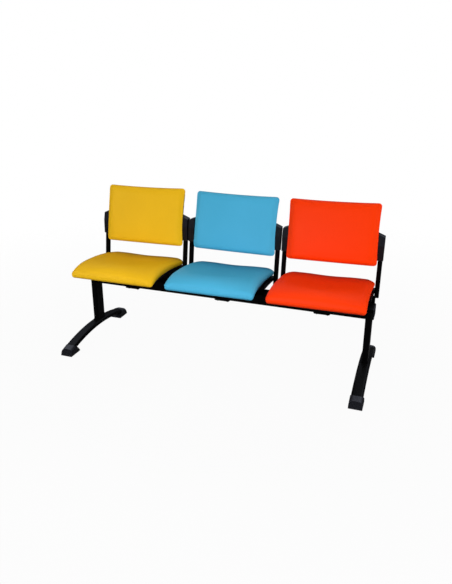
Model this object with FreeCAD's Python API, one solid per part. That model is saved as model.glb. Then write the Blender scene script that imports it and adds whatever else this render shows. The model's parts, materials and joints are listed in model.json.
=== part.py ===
import FreeCAD, Part
import math
import os

# A bench of three upholstered seats on one steel beam with two T-shaped legs.
# +X runs along the beam, -Y is the front and +Z is up. The origin is on the
# floor, in the middle of the bench. All sizes are in millimetres.

# The row of seats
SEAT_NAMES = ("left", "middle", "right")
SEAT_PITCH = 550.0

# The beam, a flat rounded tube
BEAM_Y = 76.0
BEAM_TOP = 372.0
BEAM_DEPTH = 90.0
BEAM_HEIGHT = 62.0
BEAM_CORNER = 9.0
BEAM_WALL = 3.0
BEAM_OVERHANG = 258.0       # past the middle of the outer seats
END_CAP_THICKNESS = 6.0
END_CAP_EDGE = 4.5
END_CAP_PLUG = 14.0

# The legs: a column of rounded section on an arched oval foot
LEG_INSET = 18.0            # column's middle to the end of the beam
COLUMN_FORWARD = 31.0       # column's middle in front of the beam's
COLUMN_WIDTH = 32.0
COLUMN_DEPTH = 80.0
COLUMN_CORNER = 10.0
COLUMN_WALL = 2.5
COLLAR_HEIGHT = 7.0
COLLAR_WIDTH = 2.5
FOOT_FORWARD = 76.0         # foot's middle in front of the beam's
FOOT_HALF_LENGTH = 318.0
FOOT_WIDTH = 60.0
FOOT_THICKNESS = 24.0
FOOT_WALL = 2.5
FOOT_CREST = 80.5           # height of the top of the arch
FOOT_END_TOP = 31.0         # top of the arch at the ends of the foot

# The moulded shoes at the ends of the feet
SHOE_LENGTH = 88.0          # along the floor
SHOE_TOP_LENGTH = 46.0      # along the top, as its mouth slants
SHOE_MOUTH_BULGE = 4.0      # of the slanted mouth
SHOE_WIDTH = 67.0
SHOE_WALL = 3.5             # over the foot tube
SHOE_SHOULDER = 20.0        # rounding along the top
SHOE_SLANT = 12.0           # how far the end face leans back
TOE_COVER = 22.0             # shoe in front of the end of the tube

# The cradle at the head of each leg, which holds the beam
CRADLE_BASE = 18.0
CRADLE_FRONT_RISE = 42.0    # above the beam's underside
CRADLE_REAR_RISE = 35.0     # above the beam's top
CRADLE_REAR_DEPTH = 16.0
CRADLE_ROUND = 6.0

# The seat cushion: its side view is two arcs over two arcs, which meet at the
# crest, the highest line of the seat
SEAT_WIDTH = 484.0
CREST_FORWARD = 144.0       # in front of the beam's middle
SEAT_HEIGHT = 486.0         # top of the crest beside the crown
SEAT_FRONT_REACH = 134.0    # crest to the nose
SEAT_REAR_REACH = 316.0     # crest to the rear edge
SEAT_THICKNESS = 47.0
TOP_FRONT_RADIUS = 307.0
TOP_REAR_RADIUS = 1095.0
UNDER_FRONT_RADIUS = 412.0
UNDER_REAR_RADIUS = 1640.0
NOSE_LENGTH = 18.0
TAIL_LENGTH = 16.0
SEAT_CROWN = 1.0
SEAT_ROLL = 40.0            # width of the rounded sides
ROLL_FULLNESS = 3.7         # 2 is an ellipse, more is squarer
SEAT_FRONT_CORNER = 19.0
SEAT_REAR_CORNER = 41.0
DRAWN_IN = 4.5              # sides between the corners
WAIST = 0.42                # height of the widest line in the thickness

# The board and the moulded pan under the seat cushion
CUSHION_GAP = 0.3
SEAT_BOARD = 6.0
BOARD_INSET = 14.0
BOARD_FRONT_INSET = 35.0
PAN_FLOOR = 3.0
PAN_RIM = 3.0
FIT = 0.1

# The frame under each seat
SIDE_GAP = 1.2              # seat's side to the upright
RAIL_WIDTH = 34.0
RAIL_THICKNESS = 7.5
RAIL_START = 88.0           # behind the crest
CROSS_TUBE = 22.0
CROSS_TUBE_WALL = 2.0
CROSS_TUBE_SPREAD = 30.0    # each side of the beam's middle
CROSS_TUBE_LAP = 5.0        # under the rails
CLAMP_WIDTH = 86.0
CLAMP_PLATE = 5.0
SADDLE_FIT = 0.2

# The uprights of the back
UPRIGHT_WIDTH = 24.0
UPRIGHT_DEPTH = 30.0
UPRIGHT_CORNER = 10.0
UPRIGHT_WALL = 2.0
UPRIGHT_LEAN = 8.0          # degrees
UPRIGHT_AHEAD = 36.0        # in front of the seat's rear edge, at the beam's top
UPRIGHT_LENGTH = 319.0
UPRIGHT_DROP = 4.0          # below the beam's top
PLUG_FLANGE = 2.0
PLUG_LENGTH = 14.0

# The back cushion, bent along an arc that bulges forwards
BACK_SIDE_GAP = 6.7         # cushion's side to the upright
BACK_AHEAD = 20.0           # lower front edge in front of the uprights' feet
BACK_LIFT = 166.3           # lower front edge above the beam's top
BACK_HEIGHT = 324.0
BACK_LEAN = 13.2            # degrees, over the whole height
BACK_RADIUS = 1245.0
BACK_THICKNESS = 36.0
BACK_CROWN = 5.0
BACK_ROLL = 30.0
BACK_EDGE_ROLL = 22.0
BACK_CORNER = 17.0
BACK_BOARD = 10.0
BACK_BOARD_INSET = 13.0

# The moulded shell behind the back cushion, with an ear round each upright
SHELL_DEPTH = 14.0
SHELL_WALL = 3.0
SHELL_INSET = 8.0
SHELL_CORNER = 16.0
SHELL_ROUND = 9.0
EAR_WALL = 2.5
EAR_SIDE_GAP = 1.0          # ear to the cushion's side
EAR_START = 197.0           # along the upright, from its lower end
EAR_CREASE = 78.0           # above the ear's lower end
EAR_HEIGHT = 136.0
EAR_BULGE = 8.0             # of the crease over the ends
EAR_SLOPE = 12.0            # fall of the top towards the outside
EAR_LAP = 24.0              # behind the cushion
UPRIGHT_FIT = 0.25

# Fasteners
BOLT = 8.0
BOLT_HOLE = 9.0
BOLT_HEAD = 13.0            # across the flats
BOLT_HEAD_HEIGHT = 5.3
NUT_HEIGHT = 6.5
CLAMP_BOLT_X = 28.0
CLAMP_BOLT_Y = 25.0
BOLT_TAIL = 3.0
LEG_BOLT_LENGTH = 26.0
LEG_BOLT_BEHIND = 24.0      # beam's middle to the bolt from below
SCREW = 5.0
SCREW_HOLE = 5.4
SCREW_HEAD = 9.5
SCREW_HEAD_HEIGHT = 3.2
SEAT_SCREW_INSET = 24.0     # from the rail's outer side
SEAT_SCREW_FRONT = 30.0     # from the front end of the rail
SEAT_SCREW_REAR = 86.0      # from its rear end
BACK_SCREW_X = 150.0
BACK_SCREW_RISE = 85.0      # each side of the middle of the back
BOSS = 14.0

# Sizes worked out from those above
LEG_X = SEAT_PITCH + BEAM_OVERHANG - LEG_INSET
BEAM_END = SEAT_PITCH + BEAM_OVERHANG
BEAM_BOTTOM = BEAM_TOP - BEAM_HEIGHT
COLUMN_Y = BEAM_Y - COLUMN_FORWARD
FOOT_Y = BEAM_Y - FOOT_FORWARD
FOOT_FALL = FOOT_CREST - FOOT_END_TOP
FOOT_RADIUS = (FOOT_HALF_LENGTH ** 2 + FOOT_FALL ** 2) / (2 * FOOT_FALL)
FOOT_CENTRE_Z = FOOT_CREST - FOOT_RADIUS
CREST_Y = BEAM_Y - CREST_FORWARD
UPRIGHT_Y = CREST_Y + SEAT_REAR_REACH - UPRIGHT_AHEAD
BACK_Y = UPRIGHT_Y - BACK_AHEAD
SEAT_DEPTH = SEAT_FRONT_REACH + SEAT_REAR_REACH
BAND_FRONT = SEAT_FRONT_REACH - BOARD_FRONT_INSET / 2
RAIL_OUTSIDE = SEAT_WIDTH / 2 + SIDE_GAP
UPRIGHT_X = RAIL_OUTSIDE + UPRIGHT_WIDTH / 2
BACK_HALF_WIDTH = RAIL_OUTSIDE - BACK_SIDE_GAP
PAN_UNDERSIDE = CUSHION_GAP + SEAT_BOARD + FIT + PAN_FLOOR
RAIL_UNDERSIDE = PAN_UNDERSIDE + FIT + RAIL_THICKNESS
BACK_HALF_ANGLE = math.asin(BACK_HEIGHT / 2 / BACK_RADIUS)
BACK_LOW_LEAN = math.radians(BACK_LEAN) - BACK_HALF_ANGLE
BACK_ARC = 2 * BACK_HALF_ANGLE * BACK_RADIUS
BOARD_FRONT = BACK_THICKNESS + CUSHION_GAP
BOARD_REAR = BOARD_FRONT + BACK_BOARD
SHELL_REAR = BOARD_REAR + FIT + SHELL_DEPTH

X_AXIS = FreeCAD.Vector(1, 0, 0)
Y_AXIS = FreeCAD.Vector(0, 1, 0)
Z_AXIS = FreeCAD.Vector(0, 0, 1)


def point(x, y, z):
    return FreeCAD.Vector(x, y, z)


def line(start, end):
    return Part.LineSegment(start, end).toShape()


def arc(start, through, end):
    return Part.Arc(start, through, end).toShape()


def face_of(edges):
    return Part.Face(Part.Wire(edges))


def polygon_face(points):
    return Part.Face(Part.makePolygon(points + [points[0]]))


def rounded_rectangle(width, depth, radius, z=0.0):
    """A face in the XY plane about the origin, its depth along Y."""
    plate = Part.makeBox(width, depth, 1.0, point(-width / 2, -depth / 2, z))
    upright = [edge for edge in plate.Edges if abs(edge.tangentAt(edge.FirstParameter).z) > 0.9]
    plate = plate.makeFillet(min(radius, width / 2 - 0.01, depth / 2 - 0.01), upright)
    return [face for face in plate.Faces if face.CenterOfMass.z < z + 0.001][0]


def tube(width, depth, radius, wall, length):
    """A rounded tube up from the XY plane."""
    outside = rounded_rectangle(width, depth, radius).extrude(Z_AXIS * length)
    if wall <= 0:
        return outside
    inside = rounded_rectangle(width - 2 * wall, depth - 2 * wall, max(radius - wall, 0.5))
    return outside.cut(inside.extrude(Z_AXIS * length))


def round_bar(diameter, length, base, direction):
    return Part.makeCylinder(diameter / 2, length, base, direction)


def hexagon(across_flats, height, base, direction):
    """A hexagonal head or nut that rises from its base along the direction."""
    radius = across_flats / math.sqrt(3)
    corners = [point(radius * math.cos(math.radians(60 * k)), radius * math.sin(math.radians(60 * k)), 0)
               for k in range(6)]
    block = polygon_face(corners).extrude(Z_AXIS * height)
    block.Placement = FreeCAD.Placement(base, FreeCAD.Rotation(Z_AXIS, direction))
    return block


def hex_bolt(head_base, direction, length):
    """A bolt whose shank runs along the direction from under its head."""
    head = hexagon(BOLT_HEAD, BOLT_HEAD_HEIGHT, head_base, -direction)
    return head.fuse(round_bar(BOLT, length, head_base, direction)).removeSplitter()


def pan_screw(head_base, direction, length):
    head = round_bar(SCREW_HEAD, SCREW_HEAD_HEIGHT, head_base, -direction)
    rim = [edge for edge in head.Edges
           if (edge.CenterOfMass - head_base).dot(-direction) > SCREW_HEAD_HEIGHT * 0.9]
    head = head.makeFillet(SCREW_HEAD_HEIGHT * 0.4, [rim[0]])
    return head.fuse(round_bar(SCREW, length, head_base, direction))


def arc_drop(distance, radius):
    """How far a circle falls away from its highest point at this distance."""
    return radius - math.sqrt(radius * radius - distance * distance)


def quarter(fraction):
    """Height of a quarter ellipse, from 0 at its end to 1 at its middle."""
    return math.sqrt(max(0.0, 1.0 - (1.0 - min(1.0, fraction)) ** 2))


# Seat profile: u is the distance behind the crest and z the height

def seat_top(u):
    radius = TOP_FRONT_RADIUS if u < 0 else TOP_REAR_RADIUS
    return SEAT_HEIGHT - arc_drop(abs(u), radius)


def seat_under(u, below=0.0):
    """Underside of the cushion, or a curve at an even depth below it."""
    radius = (UNDER_FRONT_RADIUS if u < 0 else UNDER_REAR_RADIUS) - below
    return SEAT_HEIGHT - SEAT_THICKNESS - below - arc_drop(abs(u), radius)


def seat_normal(u):
    """Upward normal of the curved underside."""
    radius = UNDER_FRONT_RADIUS if u < 0 else UNDER_REAR_RADIUS
    return point(0, u / radius, math.sqrt(1 - (u / radius) ** 2))


def under_point(x, u, below):
    """A point on the normal through the underside at u."""
    normal = seat_normal(u)
    return point(x, CREST_Y + u, seat_under(u)) - normal * below


def seat_band(above, below, start, end, half_width):
    """A curved plate between two depths under the cushion."""
    def at(u, depth):
        return point(-half_width, CREST_Y + u, seat_under(u, depth))

    edges = []
    if start < 0:
        edges.append(arc(at(start, above), at(start / 2, above), at(0, above)))
    middle = max(start, 0.0)
    edges.append(arc(at(middle, above), at((middle + end) / 2, above), at(end, above)))
    edges.append(line(at(end, above), at(end, below)))
    edges.append(arc(at(end, below), at((middle + end) / 2, below), at(middle, below)))
    if start < 0:
        edges.append(arc(at(0, below), at(start / 2, below), at(start, below)))
    edges.append(line(at(start, below), at(start, above)))
    return face_of(edges).extrude(X_AXIS * 2 * half_width)


def seat_plan(inset):
    """An upright prism with the seat's outline, drawn in by the inset and more at the front."""
    half = SEAT_WIDTH / 2 - inset
    front = CREST_Y - SEAT_FRONT_REACH + inset + BOARD_FRONT_INSET - BOARD_INSET
    rear = CREST_Y + SEAT_REAR_REACH - inset
    low = BEAM_TOP - BEAM_HEIGHT
    block = Part.makeBox(2 * half, rear - front, SEAT_HEIGHT - low, point(-half, front, low))
    upright = [edge for edge in block.Edges if abs(edge.tangentAt(edge.FirstParameter).z) > 0.9]
    fronts = [edge for edge in upright if edge.CenterOfMass.y < CREST_Y]
    block = block.makeFillet(SEAT_FRONT_CORNER - inset, fronts)
    upright = [edge for edge in block.Edges
               if abs(edge.tangentAt(edge.FirstParameter).z) > 0.9 and abs(edge.CenterOfMass.y - rear) < 0.01]
    return block.makeFillet(SEAT_REAR_CORNER - inset, upright)


# Cushions: each is lofted through sections that stand across it

def cushion_section(place, half_width, low, high, crown, roll):
    """A closed section: flat below, rolled sides and a crowned top."""
    waist = low + WAIST * (high - low)
    tuck = 0.6 * (waist - low) + 1.0

    def side(angle, sign):
        across = abs(math.cos(math.radians(angle)))
        rise = abs(math.sin(math.radians(angle)))
        if angle < 0:
            return place(sign * (half_width - tuck + tuck * across), waist - (waist - low) * rise)
        x = half_width - roll + roll * across ** (2 / ROLL_FULLNESS)
        return place(sign * x, waist + (high - waist) * rise ** (2 / ROLL_FULLNESS))

    return Part.Wire([
        line(side(-90, -1), side(-90, 1)),
        arc(side(-90, 1), side(-45, 1), side(0, 1)),
        arc(side(0, 1), side(22.5, 1), side(45, 1)),
        arc(side(45, 1), side(67.5, 1), side(90, 1)),
        arc(side(90, 1), place(0, high + crown), side(90, -1)),
        arc(side(90, -1), side(67.5, -1), side(45, -1)),
        arc(side(45, -1), side(22.5, -1), side(0, -1)),
        arc(side(0, -1), side(-45, -1), side(-90, -1)),
    ])


def stations(length, first_end, last_end, spans):
    """Places along a cushion, closer together at its rounded ends."""
    angles = (9, 24, 40, 56, 70, 82)
    ending = [1 - math.cos(math.radians(angle)) for angle in angles] + [1.1, 1.4]
    start = [first_end * part for part in ending]
    end = [length - last_end * part for part in reversed(ending)]
    body = end[0] - start[-1]
    return start + [start[-1] + body * k / spans for k in range(1, spans)] + end


def plan_half_width(half_width, along, length, first_corner, last_corner):
    """Half width at a place along a cushion with round corners and drawn-in sides."""
    first = first_corner * (1 - quarter(along / first_corner))
    last = last_corner * (1 - quarter((length - along) / last_corner))
    across = 2 * along / length - 1
    return half_width - first - last - DRAWN_IN * (1 - across * across)


def seat_cushion():
    sections = []
    for along in stations(SEAT_DEPTH, NOSE_LENGTH, TAIL_LENGTH, 10):
        inner = min(max(along, NOSE_LENGTH), SEAT_DEPTH - TAIL_LENGTH)
        u = inner - SEAT_FRONT_REACH
        ending = quarter(along / NOSE_LENGTH) * quarter((SEAT_DEPTH - along) / TAIL_LENGTH)
        middle = (seat_top(u) + seat_under(u)) / 2
        half_height = (seat_top(u) - seat_under(u)) / 2 * ending
        half_width = plan_half_width(SEAT_WIDTH / 2, along, SEAT_DEPTH, SEAT_FRONT_CORNER, SEAT_REAR_CORNER)
        y = CREST_Y - SEAT_FRONT_REACH + along

        def place(x, z, y=y):
            return point(x, y, z)

        sections.append(cushion_section(place, half_width, middle - half_height, middle + half_height,
                                        SEAT_CROWN * ending, SEAT_ROLL))
    return Part.makeLoft(sections, True, False, False, 3)


# Back profile: the lean is the angle along the arc and the depth is behind the front

def back_point(x, along, depth):
    """A point at a distance up the arc and a depth behind the cushion's front."""
    lean = BACK_LOW_LEAN + along / BACK_RADIUS
    low_y = BACK_Y + BACK_RADIUS * math.cos(BACK_LOW_LEAN)
    low_z = BEAM_TOP + BACK_LIFT - BACK_RADIUS * math.sin(BACK_LOW_LEAN)
    radius = BACK_RADIUS - depth
    return point(x, low_y - radius * math.cos(lean), low_z + radius * math.sin(lean))


def back_normal(along):
    """Direction from the back's rear to its front."""
    lean = BACK_LOW_LEAN + along / BACK_RADIUS
    return point(0, -math.cos(lean), math.sin(lean))


def back_band(front, rear, start, end, half_width, corner=0.0):
    """A curved plate between two depths behind the cushion's front."""
    middle = (start + end) / 2
    x = -half_width
    edges = [
        arc(back_point(x, start, front), back_point(x, middle, front), back_point(x, end, front)),
        line(back_point(x, end, front), back_point(x, end, rear)),
        arc(back_point(x, end, rear), back_point(x, middle, rear), back_point(x, start, rear)),
        line(back_point(x, start, rear), back_point(x, start, front)),
    ]
    plate = face_of(edges).extrude(X_AXIS * 2 * half_width)
    if corner <= 0:
        return plate
    short = [edge for edge in plate.Edges if edge.Length < rear - front + 0.01 and len(edge.Vertexes) == 2]
    return plate.makeFillet(corner, short)


def back_cushion():
    sections = []
    for along in stations(BACK_ARC, BACK_EDGE_ROLL, BACK_EDGE_ROLL, 6):
        ending = quarter(along / BACK_EDGE_ROLL) * quarter((BACK_ARC - along) / BACK_EDGE_ROLL)
        half_width = plan_half_width(BACK_HALF_WIDTH, along, BACK_ARC, BACK_CORNER, BACK_CORNER)

        def place(x, height, along=along):
            return back_point(x, along, BACK_THICKNESS - height)

        waist = WAIST * BACK_THICKNESS
        sections.append(cushion_section(place, half_width, waist * (1 - ending),
                                        waist + (BACK_THICKNESS - waist) * ending,
                                        BACK_CROWN * ending, BACK_ROLL))
    return Part.makeLoft(sections, True, False, False, 3)


def back_screw_places():
    return [(x, BACK_ARC / 2 + rise) for x in (-BACK_SCREW_X, BACK_SCREW_X)
            for rise in (-BACK_SCREW_RISE, BACK_SCREW_RISE)]


def back_board():
    board = back_band(BOARD_FRONT, BOARD_REAR, BACK_BOARD_INSET, BACK_ARC - BACK_BOARD_INSET,
                      BACK_HALF_WIDTH - BACK_BOARD_INSET, BACK_CORNER)
    for x, along in back_screw_places():
        board = board.cut(round_bar(SCREW + FIT, BACK_BOARD + SHELL_DEPTH,
                                    back_point(x, along, SHELL_REAR), back_normal(along)))
    return board


def upright_frame(side):
    """Placement of an upright: its lower end at the origin and its length along Z."""
    lean = math.radians(UPRIGHT_LEAN)
    start = point(side * UPRIGHT_X, UPRIGHT_Y - UPRIGHT_DROP * math.tan(lean), BEAM_TOP - UPRIGHT_DROP)
    return FreeCAD.Placement(start, FreeCAD.Rotation(X_AXIS, -UPRIGHT_LEAN))


def upright_core(side, extra):
    """The solid outer shape of an upright, made larger all round."""
    core = tube(UPRIGHT_WIDTH + 2 * extra, UPRIGHT_DEPTH + 2 * extra, UPRIGHT_CORNER + extra, 0.0,
                UPRIGHT_LENGTH)
    core.Placement = upright_frame(side)
    return core


def upright(side):
    bar = tube(UPRIGHT_WIDTH, UPRIGHT_DEPTH, UPRIGHT_CORNER, UPRIGHT_WALL, UPRIGHT_LENGTH)
    bar.Placement = upright_frame(side)
    return bar


def upright_plug(side):
    flange = tube(UPRIGHT_WIDTH, UPRIGHT_DEPTH, UPRIGHT_CORNER, 0.0, PLUG_FLANGE)
    flange.translate(point(0, 0, -PLUG_FLANGE))
    inset = UPRIGHT_WALL + FIT
    stem = tube(UPRIGHT_WIDTH - 2 * inset, UPRIGHT_DEPTH - 2 * inset, UPRIGHT_CORNER - inset, 0.0, PLUG_LENGTH)
    plug = flange.fuse(stem)
    plug.Placement = upright_frame(side)
    return plug


def ear(side):
    """The part of the shell that goes round an upright, with a crease across it."""
    frame = upright_frame(side)
    inside = BACK_HALF_WIDTH + EAR_SIDE_GAP
    outside = UPRIGHT_X + UPRIGHT_WIDTH / 2 + EAR_WALL
    end = UPRIGHT_DEPTH / 2 + EAR_WALL
    reach = UPRIGHT_DEPTH + SHELL_REAR

    def on_side(forward, up, x):
        spot = frame.multVec(point(0, -forward, EAR_START + up))
        return point(x, spot.y, spot.z)

    x = min(side * inside, side * outside)
    profile = polygon_face([on_side(end, 0, x), on_side(end + EAR_BULGE, EAR_CREASE, x),
                            on_side(end, EAR_HEIGHT, x), on_side(-reach, EAR_HEIGHT, x), on_side(-reach, 0, x)])
    block = profile.extrude(X_AXIS * (outside - inside))
    lap = back_band(BOARD_REAR + FIT, SHELL_REAR, 0, BACK_ARC, outside)
    keep = Part.makeBox(outside - inside + EAR_LAP, 2 * BACK_RADIUS, BACK_HEIGHT,
                        point(min(side * outside, side * (inside - EAR_LAP)), -BACK_RADIUS,
                              on_side(0, 0, 0).z))
    behind = lap.common(keep)
    rear = back_point(0, 0, BACK_RADIUS)
    hollow = Part.makeCylinder(BACK_RADIUS - SHELL_REAR, 4 * outside, point(-2 * outside, rear.y, rear.z), X_AXIS)
    whole = block.cut(hollow).fuse(behind)
    high = on_side(end, EAR_HEIGHT, 0).z
    slope = polygon_face([point(side * outside, -BACK_RADIUS, high - EAR_SLOPE),
                          point(side * (inside - EAR_LAP), -BACK_RADIUS, high + EAR_SLOPE * EAR_LAP / 30),
                          point(side * (inside - EAR_LAP), -BACK_RADIUS, high + BACK_HEIGHT),
                          point(side * (outside + 1), -BACK_RADIUS, high + BACK_HEIGHT),
                          point(side * (outside + 1), -BACK_RADIUS, high - EAR_SLOPE)])
    whole = whole.cut(slope.extrude(Y_AXIS * 2 * BACK_RADIUS))
    return whole.cut(upright_core(side, UPRIGHT_FIT))


def on_back_arc(edge, depth):
    """Whether an edge lies wholly at a depth behind the cushion's front."""
    centre = back_point(0, 0, BACK_RADIUS)
    spots = [vertex.Point for vertex in edge.Vertexes] + [edge.valueAt(edge.ParameterRange[0] * 0.5
                                                                       + edge.ParameterRange[1] * 0.5)]
    return all(abs(math.hypot(spot.y - centre.y, spot.z - centre.z) - BACK_RADIUS + depth) < 0.01
               for spot in spots)


def back_shell():
    start = SHELL_INSET
    end = BACK_ARC - SHELL_INSET
    half = BACK_HALF_WIDTH - SHELL_INSET
    front = BOARD_REAR + FIT
    shell = back_band(front, SHELL_REAR, start, end, half, SHELL_CORNER)
    shell = shell.makeFillet(SHELL_ROUND, [edge for edge in shell.Edges if on_back_arc(edge, SHELL_REAR)])
    hollow = back_band(front - 1, SHELL_REAR - SHELL_WALL, start + SHELL_WALL, end - SHELL_WALL,
                       half - SHELL_WALL, SHELL_CORNER - SHELL_WALL)
    shell = shell.cut(hollow)
    for x, along in back_screw_places():
        base = back_point(x, along, SHELL_REAR - 1)
        shell = shell.fuse(round_bar(BOSS, SHELL_DEPTH - 1, base, back_normal(along)))
    for side in (-1, 1):
        shell = shell.fuse(ear(side))
    for x, along in back_screw_places():
        shell = shell.cut(round_bar(SCREW_HOLE, 2 * SHELL_DEPTH, back_point(x, along, SHELL_REAR + 5),
                                    back_normal(along)))
    return shell


def seat_screw_places():
    """Screws through both rails: x and the distance behind the crest."""
    start = RAIL_START + SEAT_SCREW_FRONT
    end = rail_end() - SEAT_SCREW_REAR
    x = RAIL_OUTSIDE - SEAT_SCREW_INSET
    return [(side * x, u) for side in (-1, 1) for u in (start, end)]


def drill_seat_screws(shape, diameter):
    for x, u in seat_screw_places():
        shape = shape.cut(round_bar(diameter, RAIL_UNDERSIDE + 10, under_point(x, u, RAIL_UNDERSIDE + 5),
                                    seat_normal(u)))
    return shape


def seat_board():
    board = seat_band(CUSHION_GAP, CUSHION_GAP + SEAT_BOARD, -BAND_FRONT, SEAT_REAR_REACH, SEAT_WIDTH / 2)
    return drill_seat_screws(board.common(seat_plan(BOARD_INSET)), SCREW + FIT)


def seat_pan():
    """A shallow pan whose rim goes round the edge of the board."""
    end = SEAT_REAR_REACH
    pan = seat_band(CUSHION_GAP, PAN_UNDERSIDE, -BAND_FRONT, end, SEAT_WIDTH / 2)
    pan = pan.common(seat_plan(BOARD_INSET - FIT - PAN_RIM))
    hollow = seat_band(CUSHION_GAP - 1, CUSHION_GAP + SEAT_BOARD + FIT, -BAND_FRONT, end, SEAT_WIDTH / 2)
    return drill_seat_screws(pan.cut(hollow.common(seat_plan(BOARD_INSET - FIT))), SCREW_HOLE)


def rail_end():
    """Distance behind the crest of the upright's rear side, where the rail meets it."""
    rise = seat_under(SEAT_REAR_REACH) - RAIL_UNDERSIDE - BEAM_TOP
    return UPRIGHT_Y - CREST_Y + UPRIGHT_DEPTH / 2 + rise * math.tan(math.radians(UPRIGHT_LEAN))


def seat_rail(side):
    """A flat rail under the pan, its rear end beside the upright."""
    rail = seat_band(PAN_UNDERSIDE + FIT, RAIL_UNDERSIDE, RAIL_START, rail_end(), RAIL_WIDTH / 2)
    rail.translate(point(side * (RAIL_OUTSIDE - RAIL_WIDTH / 2), 0, 0))
    return drill_seat_screws(rail, SCREW_HOLE)


def cross_tube_places():
    """Middles of the two cross tubes, in Y and Z."""
    places = []
    for offset in (-CROSS_TUBE_SPREAD, CROSS_TUBE_SPREAD):
        u = CREST_FORWARD + offset
        middle = under_point(0, u, RAIL_UNDERSIDE + FIT + CROSS_TUBE / 2)
        places.append((middle.y, middle.z))
    return places


def cross_tubes():
    half = RAIL_OUTSIDE - RAIL_WIDTH + CROSS_TUBE_LAP
    solids = []
    for y, z in cross_tube_places():
        start = point(-half, y, z)
        bar = round_bar(CROSS_TUBE, 2 * half, start, X_AXIS)
        solids.append(bar.cut(round_bar(CROSS_TUBE - 2 * CROSS_TUBE_WALL, 2 * half, start, X_AXIS)))
    return Part.makeCompound(solids)


def clamp_bolt_places():
    return [(x, BEAM_Y + y) for x in (-CLAMP_BOLT_X, CLAMP_BOLT_X) for y in (-CLAMP_BOLT_Y, CLAMP_BOLT_Y)]


def drill_clamp_bolts(shape, centre=0.0):
    for x, y in clamp_bolt_places():
        shape = shape.cut(round_bar(BOLT_HOLE, 2 * BEAM_HEIGHT, point(centre + x, y, BEAM_BOTTOM - BEAM_HEIGHT / 2),
                                    Z_AXIS))
    return shape


def beam_clamp():
    """A folded bracket on the beam with two flanges that hold the cross tubes."""
    front = BEAM_Y - BEAM_DEPTH / 2
    rear = BEAM_Y + BEAM_DEPTH / 2
    clamp = Part.makeBox(CLAMP_WIDTH, BEAM_DEPTH, CLAMP_PLATE, point(-CLAMP_WIDTH / 2, front, BEAM_TOP))
    (y_front, z_front), (y_rear, z_rear) = cross_tube_places()
    fall = (z_rear - z_front) / (y_rear - y_front)
    for x in (-CLAMP_WIDTH / 2, CLAMP_WIDTH / 2 - CLAMP_PLATE):
        flange = polygon_face([
            point(x, front, BEAM_TOP), point(x, rear, BEAM_TOP),
            point(x, rear, z_rear + fall * (rear - y_rear)), point(x, front, z_front + fall * (front - y_front)),
        ]).extrude(X_AXIS * CLAMP_PLATE)
        clamp = clamp.fuse(flange)
    for y, z in cross_tube_places():
        clamp = clamp.cut(round_bar(CROSS_TUBE + 2 * SADDLE_FIT, CLAMP_WIDTH, point(-CLAMP_WIDTH / 2, y, z), X_AXIS))
    return drill_clamp_bolts(clamp.removeSplitter())


def clamp_plate():
    plate = rounded_rectangle(CLAMP_WIDTH, BEAM_DEPTH, BEAM_CORNER).extrude(Z_AXIS * CLAMP_PLATE)
    plate.translate(point(0, BEAM_Y, BEAM_BOTTOM - CLAMP_PLATE))
    return drill_clamp_bolts(plate)


def main_beam():
    beam = tube(BEAM_HEIGHT, BEAM_DEPTH, BEAM_CORNER, BEAM_WALL, 2 * BEAM_END)
    beam.Placement = FreeCAD.Placement(point(-BEAM_END, BEAM_Y, BEAM_TOP - BEAM_HEIGHT / 2),
                                       FreeCAD.Rotation(Y_AXIS, 90))
    for centre in seat_centres():
        beam = drill_clamp_bolts(beam, centre)
    for base, direction in leg_bolt_places():
        beam = beam.cut(round_bar(BOLT_HOLE, LEG_BOLT_LENGTH, base, direction))
    return beam


def beam_end_cap(side):
    plate = tube(BEAM_HEIGHT, BEAM_DEPTH, BEAM_CORNER, 0.0, END_CAP_THICKNESS)
    rim = [edge for edge in plate.Edges if edge.BoundBox.ZMin > END_CAP_THICKNESS - 0.01]
    plate = plate.makeFillet(min(END_CAP_EDGE, END_CAP_THICKNESS - 0.5), rim)
    inset = BEAM_WALL + FIT
    plug = tube(BEAM_HEIGHT - 2 * inset, BEAM_DEPTH - 2 * inset, BEAM_CORNER - inset, 0.0, END_CAP_PLUG)
    plug.translate(point(0, 0, -END_CAP_PLUG))
    bore = tube(BEAM_HEIGHT - 4 * inset, BEAM_DEPTH - 4 * inset, BEAM_CORNER - inset, 0.0, END_CAP_PLUG)
    bore.translate(point(0, 0, -END_CAP_PLUG - BEAM_WALL / 2))
    cap = plate.fuse(plug).cut(bore)
    cap.Placement = FreeCAD.Placement(point(side * BEAM_END, BEAM_Y, BEAM_TOP - BEAM_HEIGHT / 2),
                                      FreeCAD.Rotation(Y_AXIS, 90 * side))
    return cap


def foot_solid(extra, end_angle):
    """The arched foot as a solid bar, made larger all round."""
    section = rounded_rectangle(FOOT_WIDTH + 2 * extra, FOOT_THICKNESS + 2 * extra,
                                FOOT_THICKNESS / 2 + extra - 0.1)
    lean = FreeCAD.Rotation(X_AXIS, 90)
    section.Placement = FreeCAD.Placement(point(0, FOOT_Y, FOOT_CREST - FOOT_THICKNESS / 2), lean)
    centre = point(0, FOOT_Y, FOOT_CENTRE_Z)
    section.rotate(centre, X_AXIS, -end_angle)
    return section.revolve(centre, X_AXIS, 2 * end_angle)


def foot_end_angle(reach):
    return math.degrees(math.asin(reach / (FOOT_RADIUS - FOOT_THICKNESS / 2)))


def foot_arch(side):
    angle = foot_end_angle(FOOT_HALF_LENGTH - TOE_COVER)
    arch = foot_solid(0.0, angle).cut(foot_solid(-FOOT_WALL, angle))
    arch.translate(point(side * LEG_X, 0, 0))
    return arch


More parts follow.
